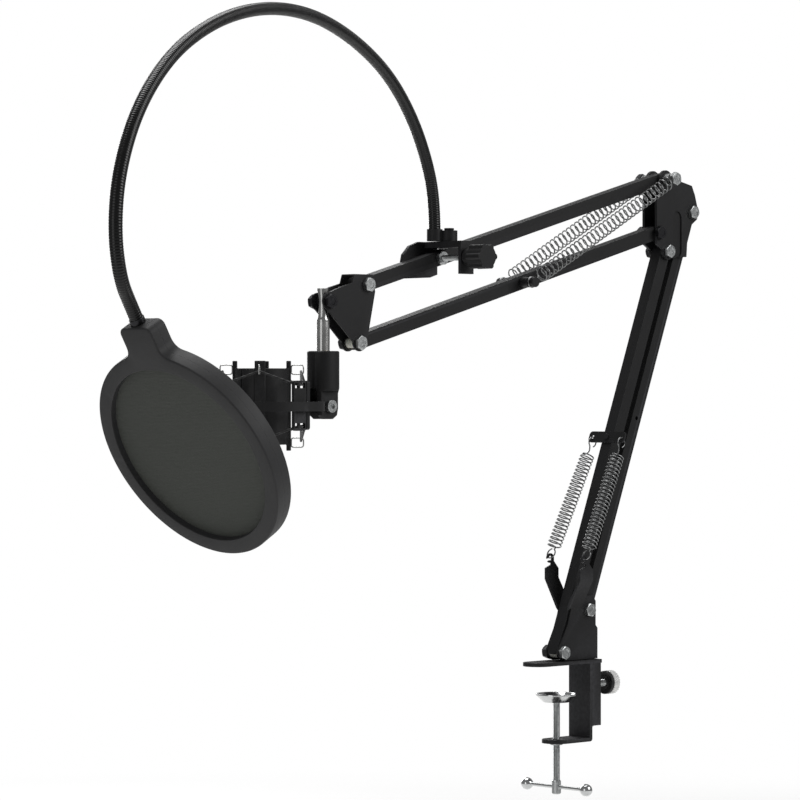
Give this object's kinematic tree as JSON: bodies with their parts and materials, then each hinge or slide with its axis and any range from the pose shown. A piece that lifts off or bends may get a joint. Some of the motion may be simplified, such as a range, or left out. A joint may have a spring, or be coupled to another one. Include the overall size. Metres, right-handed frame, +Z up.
{
  "type": "microphone suspension boom arm",
  "caption": "Spring-balanced desk microphone arm with clamp, elastic shock mount and a round pop filter on a gooseneck.",
  "frame": {"origin": "underside of the desk clamp's upper jaw, on the clamp screw's axis", "axes": "+Z up; the arm reaches towards -X; -Y is the side with the bolt heads and the pop filter"},
  "size_m": [0.7934, 0.3116, 0.6089],
  "materials": {
    "black_powder_coat": "satin black powder coat on steel",
    "bright_zinc": "bright zinc plate",
    "chrome_plate": "polished chrome plate",
    "bright_steel": "turned bright steel",
    "black_plastic": "moulded matte black plastic",
    "gloss_black": "glossy black sleeve",
    "nylon": "natural nylon",
    "black_nickel": "black nickel plate",
    "spring_steel": "plated spring wire",
    "elastic": "braided black elastic cord",
    "screen_mesh": "woven black nylon mesh, stretched",
    "brass": "turned brass"
  },
  "bodies": {
    "clamp": {"clamp_frame": "black_powder_coat", "swivel_socket": "black_powder_coat", "swivel_bushes": "nylon", "clamp_nut": "bright_zinc"},
    "pad": {"clamp_pad": "chrome_plate"},
    "screw": {"clamp_screw": "bright_zinc"},
    "tommy": {"tommy_bar": "chrome_plate"},
    "lock": {"lock_screw": "bright_zinc", "lock_knob_core": "black_plastic", "lock_knob_rim": "chrome_plate"},
    "base": {"base_yoke": "black_powder_coat", "swivel_pin": "bright_steel", "pin_circlip": "spring_steel", "base_bolts": "bright_zinc", "base_bushes": "nylon"},
    "lower_front": {"lower_front_bar": "black_powder_coat", "lower_spring_plate": "black_powder_coat"},
    "lower_spring": {"lower_spring_near": "spring_steel", "lower_spring_far": "spring_steel"},
    "lower_tails": {"lower_spring_tails": "spring_steel"},
    "lower_rear": {"lower_rear_bar": "black_powder_coat"},
    "elbow": {"elbow_plate_near": "black_powder_coat", "elbow_plate_far": "black_powder_coat", "elbow_bolts": "bright_zinc", "spring_bolt": "bright_zinc", "elbow_bushes": "nylon", "spring_bolt_spacers": "bright_zinc"},
    "upper_spring": {"upper_spring_near": "spring_steel", "upper_spring_far": "spring_steel"},
    "upper_tails": {"upper_spring_tails": "spring_steel"},
    "upper_top": {"upper_top_bar": "black_powder_coat", "filter_clamp_frame": "black_powder_coat", "neck_post": "black_powder_coat"},
    "upper_bottom": {"upper_bottom_bar": "black_powder_coat", "upper_spring_pin": "black_powder_coat"},
    "head": {"head_yoke": "black_powder_coat", "head_bolts": "bright_zinc", "head_bushes": "nylon"},
    "spigot": {"mic_spigot": "bright_steel"},
    "swivel": {"swivel_body": "black_plastic", "thread_insert": "brass", "mount_bolt": "bright_zinc"},
    "ring": {"shock_ring": "black_plastic", "cord_brackets": "black_powder_coat", "elastic_cord": "elastic"},
    "cradle": {"mic_cradle": "black_plastic", "cradle_hooks": "bright_steel"},
    "foot": {"pressure_foot": "bright_zinc"},
    "filter_screw": {"filter_clamp_screw": "bright_zinc", "filter_clamp_knob": "black_plastic"},
    "neck_lower": {"neck_socket": "black_powder_coat", "gooseneck_lower": "gloss_black", "gooseneck_middle": "gloss_black"},
    "neck_upper": {"gooseneck_upper": "gloss_black", "filter_ferrule": "black_nickel", "filter_rim_front": "black_plastic", "filter_rim_back": "black_plastic", "filter_mesh_front": "screen_mesh", "filter_mesh_back": "screen_mesh", "mesh_spacer": "black_plastic"}
  },
  "joints": [
    {"name": "pad_lift", "type": "slide", "parent": "clamp", "child": "pad", "axis": [0, 0, 1], "range_m": [-0.03, 0.0225]},
    {"name": "screw_turn", "type": "hinge", "parent": "pad", "child": "screw", "pos_m": [0, 0, -0.08], "axis": [0, 0, 1], "range_deg": [-10801, 8101]},
    {"name": "tommy_slide", "type": "slide", "parent": "screw", "child": "tommy", "axis": [0, 1, 0], "range_m": [-0.0235, 0.0235]},
    {"name": "lock_turn", "type": "hinge", "parent": "clamp", "child": "lock", "pos_m": [0.06, 0, -0.018], "axis": [1, 0, 0], "range_deg": [-720, 0]},
    {"name": "base_swivel", "type": "hinge", "parent": "clamp", "child": "base", "pos_m": [0.0359, 0, 0], "axis": [0, 0, 1], "continuous": true},
    {"name": "lower_arm_tilt", "type": "hinge", "parent": "base", "child": "lower_front", "pos_m": [0.0004, 0, 0.01], "axis": [0, -1, 0], "range_deg": [-5, 65]},
    {"name": "lower_spring_turn", "type": "hinge", "parent": "base", "child": "lower_spring", "pos_m": [0.0126, 0, 0.086], "axis": [0, -1, 0], "range_deg": [-8, 98]},
    {"name": "lower_spring_stretch", "type": "slide", "parent": "lower_spring", "child": "lower_tails", "axis": [0.4469, 0, 0.8946], "range_m": [-0.004, 0.046], "deforming": ["lower_spring_near", "lower_spring_far", "lower_spring_tails"]},
    {"name": "lower_rear_tilt", "type": "hinge", "parent": "base", "child": "lower_rear", "pos_m": [0.0305, 0, 0.0438], "axis": [0, -1, 0], "range_deg": [-5, 65]},
    {"name": "elbow_level", "type": "hinge", "parent": "lower_front", "child": "elbow", "pos_m": [0.12686, 0, 0.34118], "axis": [0, -1, 0], "range_deg": [-65, 5]},
    {"name": "upper_arm_tilt", "type": "hinge", "parent": "elbow", "child": "upper_top", "pos_m": [0.12406, 0, 0.40148], "axis": [0, 1, 0], "range_deg": [-35, 55]},
    {"name": "upper_spring_turn", "type": "hinge", "parent": "elbow", "child": "upper_spring", "pos_m": [0.12406, 0, 0.40148], "axis": [0, 1, 0], "range_deg": [-32, 50]},
    {"name": "upper_spring_stretch", "type": "slide", "parent": "upper_spring", "child": "upper_tails", "axis": [-0.8834, 0, -0.4685], "range_m": [-0.041, 0.027], "deforming": ["upper_spring_near", "upper_spring_far", "upper_spring_tails"]},
    {"name": "upper_bottom_tilt", "type": "hinge", "parent": "elbow", "child": "upper_bottom", "pos_m": [0.11546, 0, 0.35637], "axis": [0, 1, 0], "range_deg": [-35, 55]},
    {"name": "head_level", "type": "hinge", "parent": "upper_top", "child": "head", "pos_m": [-0.21738, 0, 0.30614], "axis": [0, 1, 0], "range_deg": [-55, 35]},
    {"name": "spigot_tilt", "type": "hinge", "parent": "head", "child": "spigot", "pos_m": [-0.2575, 0, 0.2925], "axis": [0, 1, 0], "range_deg": [-15, 60]},
    {"name": "mount_swivel", "type": "hinge", "parent": "spigot", "child": "swivel", "pos_m": [-0.2575, 0, 0.245], "axis": [0, 0, 1], "range_deg": [-170, 170]},
    {"name": "mount_tilt", "type": "hinge", "parent": "swivel", "child": "ring", "pos_m": [-0.2575, 0, 0.2123], "axis": [0, 1, 0], "range_deg": [-70, 14]},
    {"name": "cradle_float", "type": "slide", "parent": "ring", "child": "cradle", "axis": [0, 0, 1], "range_m": [-0.004, 0.004], "stiffness_N_per_m": 400, "deforming": ["elastic_cord"]},
    {"name": "foot_slide", "type": "slide", "parent": "upper_top", "child": "foot", "axis": [0, 1, 0], "range_m": [-0.014, 0]},
    {"name": "filter_screw_turn", "type": "hinge", "parent": "foot", "child": "filter_screw", "pos_m": [-0.137, -0.04, 0.3286], "axis": [0, 1, 0], "range_deg": [-5041, 1]},
    {"name": "neck_swing", "type": "hinge", "parent": "upper_top", "child": "neck_lower", "pos_m": [-0.137, -0.0146, 0.346], "axis": [0, 0, 1], "range_deg": [-40, 40]},
    {"name": "neck_bend", "type": "hinge", "parent": "neck_lower", "child": "neck_upper", "pos_m": [-0.39512, -0.10899, 0.496], "axis": [-0.3785, 0.9256, 0], "range_deg": [-18, 18], "deforming": ["gooseneck_middle"]}
  ],
  "couplings": [
    {"joint": "lower_spring_turn", "follows": "lower_arm_tilt", "ratio": 1.48},
    {"joint": "lower_spring_stretch", "follows": "lower_arm_tilt", "m_per_rad": 0.038609},
    {"joint": "upper_spring_turn", "follows": "upper_arm_tilt", "ratio": 0.9},
    {"joint": "upper_spring_stretch", "follows": "upper_arm_tilt", "m_per_rad": -0.040107},
    {"joint": "screw_turn", "follows": "pad_lift", "rad_per_m": 6283.2},
    {"joint": "lower_rear_tilt", "follows": "lower_arm_tilt", "ratio": 1},
    {"joint": "elbow_level", "follows": "lower_arm_tilt", "ratio": -1},
    {"joint": "upper_bottom_tilt", "follows": "upper_arm_tilt", "ratio": 1},
    {"joint": "head_level", "follows": "upper_arm_tilt", "ratio": -1},
    {"joint": "filter_screw_turn", "follows": "foot_slide", "rad_per_m": 6283.2}
  ]
}
